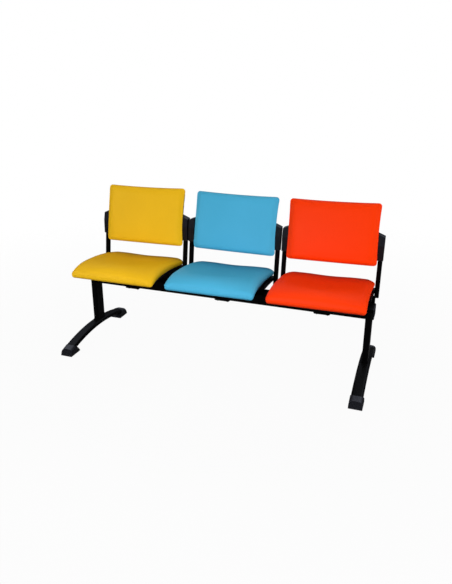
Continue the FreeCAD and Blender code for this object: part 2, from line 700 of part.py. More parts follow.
def foot_shoe(side, end):
    """A moulded shoe, its flat face at the end of the foot."""
    radius = FOOT_RADIUS + SHOE_WALL
    tip = FOOT_HALF_LENGTH
    x = -SHOE_WIDTH / 2

    def top(behind):
        reach = tip - behind
        return point(x, reach, FOOT_CREST + SHOE_WALL - arc_drop(reach, radius))

    heel = point(x, tip - SHOE_LENGTH, 0)
    mouth_top = top(SHOE_TOP_LENGTH)
    slant = mouth_top - heel
    mouth_middle = heel + slant / 2 + X_AXIS.cross(slant).normalize() * SHOE_MOUTH_BULGE
    profile = face_of([
        line(heel, point(x, tip, 0)),
        line(point(x, tip, 0), top(SHOE_SLANT)),
        arc(top(SHOE_SLANT), top((SHOE_SLANT + SHOE_TOP_LENGTH) / 2), mouth_top),
        arc(mouth_top, mouth_middle, heel),
    ])
    shoe = profile.extrude(X_AXIS * SHOE_WIDTH)
    shoulders = [edge for edge in shoe.Edges
                 if (edge.CenterOfMass - top((SHOE_SLANT + SHOE_TOP_LENGTH) / 2)).dot(Z_AXIS) > -1
                 and abs(abs(edge.CenterOfMass.x) - SHOE_WIDTH / 2) < 0.01]
    shoe = shoe.makeFillet(SHOE_SHOULDER, shoulders)
    shoe.rotate(point(0, 0, 0), Z_AXIS, 0 if end > 0 else 180)
    shoe.translate(point(0, FOOT_Y, 0))
    shoe = shoe.cut(foot_solid(FIT, foot_end_angle(tip - TOE_COVER) + 0.01))
    shoe.translate(point(side * LEG_X, 0, 0))
    return shoe


def leg_column(side):
    """The column, its foot cut to the arch, with the weld round its base."""
    top = BEAM_BOTTOM - CRADLE_BASE
    column = tube(COLUMN_WIDTH, COLUMN_DEPTH, COLUMN_CORNER, 0.0, top)
    grown = 2 * COLLAR_WIDTH
    collar = tube(COLUMN_WIDTH + grown, COLUMN_DEPTH + grown, COLUMN_CORNER + COLLAR_WIDTH, 0.0, top)
    place = point(0, COLUMN_Y, 0)
    column.translate(place)
    collar.translate(place)
    crest = Part.makeCylinder(FOOT_RADIUS + FIT, 4 * COLUMN_WIDTH, point(-2 * COLUMN_WIDTH, FOOT_Y, FOOT_CENTRE_Z),
                              X_AXIS)
    ring = Part.makeCylinder(FOOT_RADIUS + COLLAR_HEIGHT, 4 * COLUMN_WIDTH,
                             point(-2 * COLUMN_WIDTH, FOOT_Y, FOOT_CENTRE_Z), X_AXIS)
    inside = tube(COLUMN_WIDTH - 2 * COLUMN_WALL, COLUMN_DEPTH - 2 * COLUMN_WALL,
                  COLUMN_CORNER - COLUMN_WALL, 0.0, top)
    inside.translate(place)
    column = column.fuse(collar.common(ring)).cut(crest).cut(inside)
    column.translate(point(side * LEG_X, 0, 0))
    return column.removeSplitter()


def leg_cradle(side):
    """The head of the leg: a base under the beam, a low front arm and a high rear arm."""
    base = BEAM_BOTTOM - CRADLE_BASE
    front = COLUMN_Y - COLUMN_DEPTH / 2
    beam_front = BEAM_Y - BEAM_DEPTH / 2
    beam_rear = BEAM_Y + BEAM_DEPTH / 2
    rear = beam_rear + CRADLE_REAR_DEPTH
    front_top = BEAM_BOTTOM + CRADLE_FRONT_RISE
    rear_top = BEAM_TOP + CRADLE_REAR_RISE
    x = -COLUMN_WIDTH / 2
    outline = [(front, base), (rear - CRADLE_ROUND, base), (rear, base + CRADLE_ROUND), (rear, rear_top),
               (beam_rear, rear_top), (beam_rear, BEAM_BOTTOM), (beam_front, BEAM_BOTTOM),
               (beam_front, front_top), (front, front_top)]
    block = polygon_face([point(x, y, z) for y, z in outline]).extrude(X_AXIS * COLUMN_WIDTH)
    plan = rounded_rectangle(COLUMN_WIDTH, COLUMN_DEPTH, COLUMN_CORNER).extrude(Z_AXIS * rear_top)
    plan.translate(point(0, COLUMN_Y, 0))
    tail = rounded_rectangle(COLUMN_WIDTH, rear - COLUMN_Y, CRADLE_ROUND / 2).extrude(Z_AXIS * rear_top)
    tail.translate(point(0, (rear + COLUMN_Y) / 2, 0))
    block = block.common(plan.fuse(tail))
    tops = [edge for edge in block.Edges
            if abs(edge.tangentAt(edge.FirstParameter).x) > 0.9 and edge.CenterOfMass.z > rear_top - 0.01]
    block = block.makeFillet(CRADLE_ROUND, tops)
    for bolt_base, direction in cradle_bolt_places():
        block = block.cut(round_bar(BOLT_HOLE, 4 * CRADLE_BASE, bolt_base - direction * BOLT, direction))
    block.translate(point(side * LEG_X, 0, 0))
    return block


def cradle_bolt_places():
    """Bolts of a leg about its own middle: under each head, and the way that the shank runs."""
    rear = BEAM_Y + BEAM_DEPTH / 2 + CRADLE_REAR_DEPTH
    below = point(0, BEAM_Y + LEG_BOLT_BEHIND, BEAM_BOTTOM - CRADLE_BASE)
    behind = point(0, rear, BEAM_TOP - BEAM_HEIGHT / 2)
    return [(below, Z_AXIS), (behind, -Y_AXIS)]


def leg_bolt_places():
    return [(base + point(side * LEG_X, 0, 0), direction)
            for side in (-1, 1) for base, direction in cradle_bolt_places()]


def seat_centres():
    first = -SEAT_PITCH * (len(SEAT_NAMES) - 1) / 2
    return [first + SEAT_PITCH * k for k in range(len(SEAT_NAMES))]


def for_each_seat(make):
    """One node that holds the same fasteners under every seat."""
    solids = []
    for centre in seat_centres():
        for solid in make():
            copy = solid.copy()
            copy.translate(point(centre, 0, 0))
            solids.append(copy)
    return Part.makeCompound(solids)


def clamp_bolts():
    length = 2 * CLAMP_PLATE + BEAM_HEIGHT + NUT_HEIGHT + BOLT_TAIL
    return [hex_bolt(point(x, y, BEAM_TOP + CLAMP_PLATE), -Z_AXIS, length) for x, y in clamp_bolt_places()]


def clamp_nuts():
    top = BEAM_BOTTOM - CLAMP_PLATE
    return [hexagon(BOLT_HEAD, NUT_HEIGHT, point(x, y, top), -Z_AXIS).cut(
            round_bar(BOLT + FIT, 3 * NUT_HEIGHT, point(x, y, top - 2 * NUT_HEIGHT), Z_AXIS))
            for x, y in clamp_bolt_places()]


def seat_screws():
    length = RAIL_UNDERSIDE - CUSHION_GAP - 1
    return [pan_screw(under_point(x, u, RAIL_UNDERSIDE + FIT), seat_normal(u), length)
            for x, u in seat_screw_places()]


def back_screws():
    length = SHELL_REAR - BOARD_FRONT - 1
    return [pan_screw(back_point(x, along, SHELL_REAR + FIT), back_normal(along), length)
            for x, along in back_screw_places()]


def upright_plugs():
    return [upright_plug(side) for side in (-1, 1)]


def seat_pieces():
    """The pieces of one seat, about the middle of the beam."""
    return {
        "seat_cushion": seat_cushion(),
        "seat_board": seat_board(),
        "seat_pan": seat_pan(),
        "seat_rail_left": seat_rail(-1),
        "seat_rail_right": seat_rail(1),
        "cross_tubes": cross_tubes(),
        "beam_clamp": beam_clamp(),
        "clamp_plate": clamp_plate(),
        "upright_left": upright(-1),
        "upright_right": upright(1),
        "back_cushion": back_cushion(),
        "back_board": back_board(),
        "back_shell": back_shell(),
    }


def leg_pieces(name, side):
    return {
        name + "_leg_column": leg_column(side),
        name + "_leg_cradle": leg_cradle(side),
        name + "_foot_arch": foot_arch(side),
        name + "_front_shoe": foot_shoe(side, -1),
        name + "_rear_shoe": foot_shoe(side, 1),
        name + "_beam_cap": beam_end_cap(side),
    }


def all_pieces():
    pieces = {"main_beam": main_beam()}
    pieces.update(leg_pieces("left", -1))
    pieces.update(leg_pieces("right", 1))
    for name, centre in zip(SEAT_NAMES, seat_centres()):
        for piece, shape in seat_pieces().items():
            copy = shape.copy()
            copy.translate(point(centre, 0, 0))
            pieces[name + "_" + piece] = copy
    pieces["leg_bolts"] = Part.makeCompound([hex_bolt(base, direction, LEG_BOLT_LENGTH)
                                             for base, direction in leg_bolt_places()])
    pieces["clamp_bolts"] = for_each_seat(clamp_bolts)
    pieces["clamp_nuts"] = for_each_seat(clamp_nuts)
    pieces["seat_screws"] = for_each_seat(seat_screws)
    pieces["back_screws"] = for_each_seat(back_screws)
    pieces["upright_plugs"] = for_each_seat(upright_plugs)
    return pieces


def main():
    os.makedirs("parts", exist_ok=True)
    for name, shape in all_pieces().items():
        box = shape.BoundBox
        print(f"{name}: {len(shape.Solids)} solids, {shape.Volume / 1000:.1f} cm3, valid {shape.isValid()}, "
              f"x {box.XMin:.1f} {box.XMax:.1f}, y {box.YMin:.1f} {box.YMax:.1f}, z {box.ZMin:.1f} {box.ZMax:.1f}")
        shape.exportStep(f"parts/{name}.step")


main()
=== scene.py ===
import json
import logging
import math
from dataclasses import dataclass
from enum import Enum
from typing import Callable, Iterable, Optional, Sequence, Union

import bpy
import numpy as np
from mathutils import Matrix, Vector

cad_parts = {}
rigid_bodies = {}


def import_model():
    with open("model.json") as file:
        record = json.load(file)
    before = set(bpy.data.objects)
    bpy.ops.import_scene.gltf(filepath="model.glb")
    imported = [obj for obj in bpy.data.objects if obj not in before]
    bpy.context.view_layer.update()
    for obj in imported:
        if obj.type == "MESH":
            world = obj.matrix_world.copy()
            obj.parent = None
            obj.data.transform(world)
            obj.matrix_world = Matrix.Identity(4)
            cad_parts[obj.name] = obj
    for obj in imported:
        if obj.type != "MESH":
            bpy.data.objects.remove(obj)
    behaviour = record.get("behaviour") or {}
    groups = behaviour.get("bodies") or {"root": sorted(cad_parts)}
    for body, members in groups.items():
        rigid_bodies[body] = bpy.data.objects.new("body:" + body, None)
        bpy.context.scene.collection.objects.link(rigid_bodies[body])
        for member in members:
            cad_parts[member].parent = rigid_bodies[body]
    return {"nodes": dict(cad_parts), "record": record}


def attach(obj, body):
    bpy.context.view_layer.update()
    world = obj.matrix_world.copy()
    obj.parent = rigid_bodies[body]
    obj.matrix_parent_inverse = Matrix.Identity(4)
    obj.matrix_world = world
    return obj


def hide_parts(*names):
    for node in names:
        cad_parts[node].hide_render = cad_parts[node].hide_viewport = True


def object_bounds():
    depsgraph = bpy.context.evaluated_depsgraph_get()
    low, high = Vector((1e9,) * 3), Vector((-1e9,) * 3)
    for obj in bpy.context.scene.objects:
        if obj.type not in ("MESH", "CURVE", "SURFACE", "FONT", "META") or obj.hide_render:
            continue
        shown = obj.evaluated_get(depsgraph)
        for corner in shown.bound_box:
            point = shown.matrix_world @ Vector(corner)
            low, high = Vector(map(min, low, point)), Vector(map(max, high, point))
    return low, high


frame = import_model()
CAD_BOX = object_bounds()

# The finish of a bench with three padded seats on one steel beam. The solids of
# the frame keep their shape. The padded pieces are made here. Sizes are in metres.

LOG = logging.getLogger("bench")
SAME_POINT = 0.00001            # vertices this close are one
FLAT_ON = 0.99                  # least cosine between a level face and the upright

Colour = tuple[float, float, float]
WHITE: Colour = (1.0, 1.0, 1.0)
Link = Union[bpy.types.NodeSocket, float, int, bool, Sequence[float], str]


class Place(Enum):
    """The three places on the beam, counted from the photograph's left."""

    LEFT = "left"
    MIDDLE = "middle"
    RIGHT = "right"


class Slot(Enum):
    """The finishes that the record names."""

    YELLOW = "yellow_upholstery"
    BLUE = "blue_upholstery"
    RED = "red_upholstery"
    STEEL = "black_steel"
    PLASTIC = "black_plastic"
    PLYWOOD = "plywood"
    ZINC = "zinc_plated_steel"


class Role(Enum):
    """What a cushion is for, and so which way it rests on its board."""

    SEAT = "seat"
    BACK = "back"

    @property
    def rests(self) -> Vector:
        """The direction from the cushion to its board."""
        return Vector((0, 0, -1)) if self is Role.SEAT else Vector((0, 0.97, -0.23))


# Small helpers for objects and meshes


def deselect_all() -> None:
    """Leave no object selected."""
    for item in bpy.context.view_layer.objects:
        item.select_set(False)


def activate(item: bpy.types.Object) -> None:
    """Select one object alone and make it active.

    Args:
        item: The object that the next operators act on.
    """
    deselect_all()
    item.select_set(True)
    bpy.context.view_layer.objects.active = item


def apply_modifier(item: bpy.types.Object, kind: str, **settings: object) -> None:
    """Add a modifier and apply it at once.

    Args:
        item: The object to change.
        kind: Blender's name for the modifier's type.
        settings: Values for the modifier's properties.
    """
    modifier = item.modifiers.new(kind.title(), kind)
    for name, value in settings.items():
        setattr(modifier, name, value)
    activate(item)
    bpy.ops.object.modifier_apply(modifier=modifier.name)


def points_of(mesh: bpy.types.Mesh) -> np.ndarray:
    """Read where a mesh's vertices are.

    Args:
        mesh: The mesh.

    Returns:
        Their places, one row each.
    """
    flat = np.zeros(len(mesh.vertices) * 3)
    mesh.vertices.foreach_get("co", flat)
    return flat.reshape(-1, 3)


def normals_of(mesh: bpy.types.Mesh) -> np.ndarray:
    """Read the normals at a mesh's vertices.

    Args:
        mesh: The mesh.

    Returns:
        The normals, one row each.
    """
    flat = np.zeros(len(mesh.vertices) * 3)
    mesh.vertices.foreach_get("normal", flat)
    return flat.reshape(-1, 3)


def set_points(mesh: bpy.types.Mesh, points: np.ndarray) -> None:
    """Put a mesh's vertices at new places, one row each."""
    mesh.vertices.foreach_set("co", points.ravel())
    mesh.update()


def merged_copy(node: str, name: str) -> bpy.types.Object:
    """Copy a solid of the frame and join its loose triangles.

    Args:
        node: The solid's name.
        name: The copy's name.

    Returns:
        The copy, its place in its mesh.
    """
    mesh = frame["nodes"][node].data.copy()
    mesh.materials.clear()
    copy = bpy.data.objects.new(name, mesh)
    bpy.context.scene.collection.objects.link(copy)
    activate(copy)
    bpy.ops.object.mode_set(mode="EDIT")
    bpy.ops.mesh.select_all(action="SELECT")
    bpy.ops.mesh.remove_doubles(threshold=SAME_POINT)
    bpy.ops.object.mode_set(mode="OBJECT")
    return copy


def own_copy(item: bpy.types.Object) -> bpy.types.Object:
    """Copy an object with a mesh of its own.

    Args:
        item: The object.

    Returns:
        The copy, in the scene.
    """
    copy = item.copy()
    copy.data = item.data.copy()
    bpy.context.scene.collection.objects.link(copy)
    return copy


def select_faces(item: bpy.types.Object, wanted: Callable[[bpy.types.MeshPolygon], bool]) -> None:
    """Select the faces that pass a test, and leave the object in edit mode.

    Args:
        item: The object.
        wanted: The test of one face.
    """
    activate(item)
    bpy.ops.object.mode_set(mode="EDIT")
    bpy.ops.mesh.select_mode(type="FACE")
    bpy.ops.mesh.select_all(action="DESELECT")
    bpy.ops.object.mode_set(mode="OBJECT")
    for face in item.data.polygons:
        face.select = wanted(face)
    bpy.ops.object.mode_set(mode="EDIT")


def smooth_step(values: np.ndarray) -> np.ndarray:
    """Ease values that run from 0 to 1, and hold them level beyond."""
    inside = np.clip(values, 0.0, 1.0)
    return inside * inside * (3.0 - 2.0 * inside)


# Shader groups and finishes


class Graph:
    """Builds the nodes of one shader tree or group."""

    def __init__(self, tree: bpy.types.NodeTree) -> None:
        """Start from an empty tree.

        Args:
            tree: The tree to fill.
        """
        self.tree = tree
        self.column = 0
        tree.nodes.clear()

    def add(self, kind: str, inputs: Optional[dict[Union[str, int], Link]] = None,
            **settings: object) -> bpy.types.Node:
        """Add a node and fill its inputs.

        Args:
            kind: The node's type, without its ShaderNode prefix where it has one.
            inputs: A value or an output socket for each input, by name or number.
            settings: Values for the node's own properties.

        Returns:
            The new node.
        """
        known = kind if kind.startswith("Node") else "ShaderNode" + kind
        node = self.tree.nodes.new(known)
        node.location = (self.column * 180, 0)
        self.column += 1
        for name, value in settings.items():
            setattr(node, name, value)
        for name, value in (inputs or {}).items():
            if isinstance(value, bpy.types.NodeSocket):
                self.tree.links.new(value, node.inputs[name])
            else:
                node.inputs[name].default_value = value
        return node

    def math(self, operation: str, first: Link, second: Link, third: Link = 0.0) -> bpy.types.NodeSocket:
        """Combine two or three numbers or sockets, by Blender's name for what is done."""
        node = self.add("Math", {0: first, 1: second, 2: third}, operation=operation)
        return node.outputs[0]

    def mix(self, share: Link, first: Link, second: Link) -> bpy.types.NodeSocket:
        """Mix two colours, with a share of the second."""
        node = self.add("Mix", {0: share, 6: first, 7: second}, data_type="RGBA")
        return node.outputs[2]

    def spread(self, value: Link, low: float, high: float, from_low: float = 0.0,
               from_high: float = 1.0) -> bpy.types.NodeSocket:
        """Map a number from one range to the range from low to high."""
        node = self.add("MapRange", {0: value, 1: from_low, 2: from_high, 3: low, 4: high})
        return node.outputs[0]


def new_group(name: str, inputs: dict[str, float], outputs: dict[str, str]) -> bpy.types.NodeTree:
    """Make a shader node group with named sockets.

    Args:
        name: The group's name.
        inputs: The default of each number that the group takes.
        outputs: The socket type of each thing that it gives.

    Returns:
        The empty group.
    """
    group = bpy.data.node_groups.new(name, "ShaderNodeTree")
    for title, value in inputs.items():
        socket = group.interface.new_socket(title, in_out="INPUT", socket_type="NodeSocketFloat")
        socket.default_value = value
    for title, kind in outputs.items():
        group.interface.new_socket(title, in_out="OUTPUT", socket_type=kind)
    return group


class Groups:
    """The shader groups that the finishes share."""

    def __init__(self) -> None:
        """Build each group once."""
        self.hide = self._hide_grain()
        self.soft_edge = self._soft_edge()
        self.patina = self._patina()
        self.spatter = self._spatter()

    @staticmethod
    def _hide_grain() -> bpy.types.NodeTree:
        """Pebbled grain of artificial leather.

        Returns:
            A group that gives its height and its creases.
        """
        group = new_group("hide grain", {"Cells": 700.0},
                          {"Height": "NodeSocketFloat", "Crease": "NodeSocketFloat"})
        graph = Graph(group)
        given = graph.add("NodeGroupInput")
        place = graph.add("TexCoord").outputs["Object"]
        warp = graph.add("TexNoise", {"Vector": place, "Scale": 60.0, "Detail": 2.0})
        bent = graph.add("MixRGB", {0: 0.006, 1: place, 2: warp.outputs["Color"]}, blend_type="ADD")
        cells = graph.add("TexVoronoi", {"Vector": bent.outputs[0], "Scale": given.outputs["Cells"],
                                         "Smoothness": 0.35}, feature="SMOOTH_F1")
        pebble = graph.spread(cells.outputs["Distance"], 1.0, 0.0, 0.05, 0.62)
        fine = graph.add("TexNoise", {"Vector": place, "Scale": 2600.0, "Detail": 2.0})
        height = graph.math("MULTIPLY_ADD", fine.outputs["Fac"], 0.25, pebble)
        crease = graph.spread(cells.outputs["Distance"], 0.0, 1.0, 0.42, 0.7)
        graph.add("NodeGroupOutput", {"Height": height, "Crease": crease})
        return group

    @staticmethod
    def _soft_edge() -> bpy.types.NodeTree:
        """Rounded edges.

        Returns:
            A group that gives a normal that turns over each edge, and a mask of the edges.
        """
        group = new_group("soft edge", {"Radius": 0.001},
                          {"Normal": "NodeSocketVector", "Edge": "NodeSocketFloat"})
        graph = Graph(group)
        given = graph.add("NodeGroupInput")
        rounded = graph.add("Bevel", {"Radius": given.outputs["Radius"]}, samples=6).outputs[0]
        flat = graph.add("NewGeometry").outputs["Normal"]
        turned = graph.add("VectorMath", {0: rounded, 1: flat}, operation="DOT_PRODUCT").outputs["Value"]
        edge = graph.spread(turned, 1.0, 0.0, 0.82, 0.99)
        graph.add("NodeGroupOutput", {"Normal": rounded, "Edge": edge})
        return group

    @staticmethod
    def _patina() -> bpy.types.NodeTree:
        """Slow changes of tone over a surface, and light dust on what faces up.

        Returns:
            A group that gives a mask of each.
        """
        group = new_group("patina", {"Scale": 6.0},
                          {"Tone": "NodeSocketFloat", "Dust": "NodeSocketFloat"})
        graph = Graph(group)
        given = graph.add("NodeGroupInput")
        place = graph.add("TexCoord").outputs["Object"]
        slow = graph.add("TexNoise", {"Vector": place, "Scale": given.outputs["Scale"], "Detail": 3.0})
        tone = graph.spread(slow.outputs["Fac"], 0.0, 1.0, 0.3, 0.7)
        up = graph.add("SeparateXYZ", {0: graph.add("NewGeometry").outputs["Normal"]}).outputs["Z"]
        facing = graph.spread(up, 0.0, 1.0, 0.5, 1.0)
        specks = graph.add("TexNoise", {"Vector": place, "Scale": 240.0, "Detail": 4.0})
        dust = graph.math("MULTIPLY", facing, graph.spread(specks.outputs["Fac"], 0.0, 1.0, 0.42, 0.75))
        graph.add("NodeGroupOutput", {"Tone": tone, "Dust": dust})
        return group

    @staticmethod
    def _spatter() -> bpy.types.NodeTree:
        """Fine even roughness of sprayed paint or a moulded surface.

        Returns:
            A group that gives its height.
        """
        group = new_group("spatter", {"Size": 900.0}, {"Height": "NodeSocketFloat"})
        graph = Graph(group)
        given = graph.add("NodeGroupInput")
        place = graph.add("TexCoord").outputs["Object"]
        coarse = graph.add("TexNoise", {"Vector": place, "Scale": given.outputs["Size"], "Detail": 3.0})
        wide = graph.add("TexNoise", {"Vector": place, "Scale": 130.0, "Detail": 1.0})
        height = graph.math("ADD", coarse.outputs["Fac"], wide.outputs["Fac"])
        graph.add("NodeGroupOutput", {"Height": height})
        return group


def opaque(colour: Iterable[float]) -> tuple[float, ...]:
    """Add full opacity to a colour's red, green and blue."""
    return (*colour, 1.0)


def new_material(name: str) -> tuple[bpy.types.Material, Graph]:
    """Make an empty material.

    Args:
        name: The material's name.

    Returns:
        The material, and the graph that fills it.
    """
    material = bpy.data.materials.new(name)
    material.use_nodes = True
    return material, Graph(material.node_tree)


def finish_surface(graph: Graph, inputs: dict[Union[str, int], Link]) -> None:
    """Close a material's graph with its surface shader and what its inputs get."""
    shader = graph.add("BsdfPrincipled", inputs)
    graph.add("OutputMaterial", {"Surface": shader.outputs[0]})


@dataclass(frozen=True)
class Finish:
    """A procedural finish."""

    name: str

    def material(self, groups: Groups) -> bpy.types.Material:
        """Build the material.

        Args:
            groups: The shared shader groups.

        Returns:
            A new material.
        """
        material, graph = new_material(self.name)
        self.fill(graph, groups)
        return material

    def fill(self, graph: Graph, groups: Groups) -> None:
        """Lay out the shader, with what the groups share."""
        raise NotImplementedError


@dataclass(frozen=True)
class Leatherette(Finish):
    """Smooth artificial leather, stretched over foam, with painted shade in the creases of its grain."""

    light: Colour
    deep: Colour
    roughness: float = 0.46
    specular: float = 0.12
    grain_depth: float = 0.00012
    crease_shade_share: float = 0.22  # how much the painted shade in the grain's creases darkens the colour
    crease_shade_dark: float = 0.72   # the painted shade's colour, as a share of the deep one

    def fill(self, graph: Graph, groups: Groups) -> None:
        """Lay out the shader.

        Args:
            graph: The material's graph.
            groups: The shared shader groups.
        """
        hide = graph.add("Group", node_tree=groups.hide)
        patina = graph.add("Group", {"Scale": 4.5}, node_tree=groups.patina)
        base = graph.mix(patina.outputs["Tone"], opaque(self.light), opaque(self.deep))
        # painted shade: the grain's creases are darkened in colour, where shade would fall
        creases = graph.math("MULTIPLY", hide.outputs["Crease"], self.crease_shade_share)
        crease_shaded = graph.mix(creases, base, opaque(self.crease_shade_dark * part for part in self.deep))
        even = graph.spread(patina.outputs["Tone"], self.roughness - 0.03, self.roughness + 0.04)
        rough = graph.math("MULTIPLY_ADD", hide.outputs["Crease"], 0.08, even)
        bump = graph.add("Bump", {"Strength": 0.5, "Distance": self.grain_depth,
                                  "Height": hide.outputs["Height"]})
        finish_surface(graph, {"Base Color": crease_shaded, "Roughness": rough, "Normal": bump.outputs[0],
                               "Specular IOR Level": self.specular})


@dataclass(frozen=True)
class PowderCoat(Finish):
    """Satin powder paint on steel tube and plate."""

    colour: Colour
    worn: Colour
    roughness: float = 0.38
    specular: float = 0.06
    edge_radius: float = 0.0012
    dust: Colour = (0.30, 0.28, 0.25)
    dust_share: float = 0.02

    def fill(self, graph: Graph, groups: Groups) -> None:
        """Lay out the shader.

        Args:
            graph: The material's graph.
            groups: The shared shader groups.
        """
        patina = graph.add("Group", {"Scale": 9.0}, node_tree=groups.patina)
        edge = graph.add("Group", {"Radius": self.edge_radius}, node_tree=groups.soft_edge)
        spatter = graph.add("Group", {"Size": 1100.0}, node_tree=groups.spatter)
        scuffs = graph.math("MULTIPLY", edge.outputs["Edge"], patina.outputs["Tone"])
        base = graph.mix(graph.math("MULTIPLY", scuffs, 0.5), opaque(self.colour), opaque(self.worn))
        dust = graph.math("MULTIPLY", patina.outputs["Dust"], self.dust_share)
        dusty = graph.mix(dust, base, opaque(self.dust))
        rough = graph.spread(patina.outputs["Tone"], self.roughness - 0.05, self.roughness + 0.06)
        bump = graph.add("Bump", {"Strength": 0.35, "Distance": 0.0001, "Height": spatter.outputs["Height"],
                                  "Normal": edge.outputs["Normal"]})
        finish_surface(graph, {"Base Color": dusty, "Roughness": rough, "Normal": bump.outputs[0],
                               "Specular IOR Level": self.specular})


@dataclass(frozen=True)
class MouldedPlastic(Finish):
    """Moulded plastic with a fine spark-eroded texture, and a painted bluish highlight along its edges."""

    colour: Colour
    # colour of the painted bluish highlight along the edges
    painted_edge_highlight: Colour
    roughness: float = 0.5
    specular: float = 0.4
    edge_radius: float = 0.0016
    dust: Colour = (0.30, 0.29, 0.28)
    dust_share: float = 0.06

    def fill(self, graph: Graph, groups: Groups) -> None:
        """Lay out the shader.

        Args:
            graph: The material's graph.
            groups: The shared shader groups.
        """
        patina = graph.add("Group", {"Scale": 12.0}, node_tree=groups.patina)
        edge = graph.add("Group", {"Radius": self.edge_radius}, node_tree=groups.soft_edge)
        spatter = graph.add("Group", {"Size": 1600.0}, node_tree=groups.spatter)
        # painted highlight: the edges are lightened towards a bluish colour, as if they caught light
        painted_highlight_share = graph.math("MULTIPLY", edge.outputs["Edge"], 0.6)
        base = graph.mix(painted_highlight_share, opaque(self.colour), opaque(self.painted_edge_highlight))
        dust = graph.math("MULTIPLY", patina.outputs["Dust"], self.dust_share)
        dusty = graph.mix(dust, base, opaque(self.dust))
        rough = graph.spread(patina.outputs["Tone"], self.roughness - 0.05, self.roughness + 0.05)
        bump = graph.add("Bump", {"Strength": 0.6, "Distance": 0.00012, "Height": spatter.outputs["Height"],
                                  "Normal": edge.outputs["Normal"]})
        finish_surface(graph, {"Base Color": dusty, "Roughness": rough, "Normal": bump.outputs[0],
                               "Specular IOR Level": self.specular})


@dataclass(frozen=True)
class BirchPly(Finish):
    """Bare plywood, its plies seen on the edges."""

    light: Colour
    dark: Colour
    ply: float = 0.0014         # thickness of one ply

    def fill(self, graph: Graph, groups: Groups) -> None:
        """Lay out the shader.

        Args:
            graph: The material's graph.
            groups: The shared shader groups. Not used.
        """
        place = graph.add("TexCoord").outputs["Object"]
        long = graph.add("Mapping", {"Vector": place, "Scale": (3.0, 60.0, 60.0)}).outputs[0]
        grain = graph.add("TexNoise", {"Vector": long, "Scale": 6.0, "Detail": 6.0, "Distortion": 0.6})
        plies = graph.add("TexWave", {"Vector": place, "Scale": 0.5 / self.ply, "Distortion": 0.4},
                          bands_direction="Z")
        streaks = graph.math("MULTIPLY", grain.outputs["Fac"], 0.6)
        share = graph.math("MULTIPLY_ADD", plies.outputs["Fac"], 0.35, streaks)
        base = graph.mix(share, opaque(self.light), opaque(self.dark))
        bump = graph.add("Bump", {"Strength": 0.3, "Distance": 0.0002, "Height": grain.outputs["Fac"]})
        rough = graph.spread(grain.outputs["Fac"], 0.55, 0.75)
        finish_surface(graph, {"Base Color": base, "Roughness": rough, "Normal": bump.outputs[0]})


@dataclass(frozen=True)
class ZincPlate(Finish):
    """Bright zinc plating on bolts, nuts and screws."""

    bright: Colour
    dull: Colour

    def fill(self, graph: Graph, groups: Groups) -> None:
        """Lay out the shader.

        Args:
            graph: The material's graph.
            groups: The shared shader groups.
        """
        patina = graph.add("Group", {"Scale": 180.0}, node_tree=groups.patina)
        edge = graph.add("Group", {"Radius": 0.0004}, node_tree=groups.soft_edge)
        base = graph.mix(patina.outputs["Tone"], opaque(self.bright), opaque(self.dull))
        rough = graph.spread(patina.outputs["Tone"], 0.26, 0.42)
        finish_surface(graph, {"Base Color": base, "Roughness": rough, "Normal": edge.outputs["Normal"],
                               "Metallic": 1.0})


# The padded pieces


@dataclass(frozen=True)
class PadForm:
    """How a stuffed pad differs from its plain solid."""

    dish: float                 # dip of the middle below the shoulders
    shoulder: float             # where the shoulders are, as a share of the half width
    side_roll: float            # fall from the shoulders to the sides
    end_roll: float             # fall at the front and rear, or at the top and bottom
    end_reach: float            # over which length it falls
    sag: float                  # dip of the upper edge between its corners
    level: float = 0.0          # raise of the whole face
    crown: float = 0.0          # raise of the middle above the sides
    filling: tuple[tuple[float, float], ...] = ((0.0, 0.0),)   # raise at distances behind the nose
    filled_side: float = 0.35   # share of the filling at the sides
    dish_run: float = 0.0       # over which length behind the nose the dip begins


SEAT_FORM = PadForm(dish=0.006, shoulder=0.72, side_roll=0.007, end_roll=0.0, end_reach=0.05, sag=0.0,
                    level=0.0025, dish_run=0.16,
                    filling=((0.0, 0.0), (0.006, 0.002), (0.014, 0.0073), (0.022, 0.011),
                             (0.034, 0.0138), (0.048, 0.0149), (0.065, 0.0150), (0.087, 0.0135),
                             (0.117, 0.0109), (0.150, 0.0083), (0.185, 0.0058), (0.220, 0.0041),
                             (0.260, 0.0025), (0.310, 0.0005), (0.450, 0.0025)))
BACK_FORM = PadForm(dish=0.0, shoulder=0.78, side_roll=0.012, end_roll=0.004, end_reach=0.035, sag=0.005,
                    crown=0.004)


@dataclass(frozen=True)
class Mounting:
    """How one pad sits off its plain place, as hand-fitted pads do."""

    turn: float = 0.0           # degrees about the depth
    aside: float = 0.0
    rise: float = 0.0
    spread: float = 0.0         # how much fuller it is all round


@dataclass(frozen=True)
class Cover:
    """The cloth that a cover is simulated as."""

    quality: int = 5
    mass: float = 0.35
    tension_stiffness: float = 20.0
    compression_stiffness: float = 20.0
    shear_stiffness: float = 8.0
    bending_stiffness: float = 6.0
    uniform_pressure_force: float = 4.0
    frames: int = 20

    def run(self, pad: bpy.types.Object, held: np.ndarray) -> None:
        """Press a pad outwards and apply the result to its mesh.

        Args:
            pad: The cushion.
            held: The numbers of the points that the board holds.
        """
        group = pad.vertex_groups.new(name="board")
        group.add([int(index) for index in held], 1.0, "REPLACE")
        cloth = pad.modifiers.new("Cover", "CLOTH")
        settings = cloth.settings
        for name in ("quality", "mass", "tension_stiffness", "compression_stiffness",
                     "shear_stiffness", "bending_stiffness", "uniform_pressure_force"):
            setattr(settings, name, getattr(self, name))
        settings.use_pressure = True
        settings.vertex_group_mass = group.name
        settings.effector_weights.gravity = 0.0
        cloth.point_cache.frame_start = 1
        cloth.point_cache.frame_end = self.frames
        for number in range(1, self.frames + 1):
            bpy.context.scene.frame_set(number)
        activate(pad)
        bpy.ops.object.modifier_apply(modifier=cloth.name)
        bpy.context.scene.frame_set(1)
        pad.vertex_groups.clear()


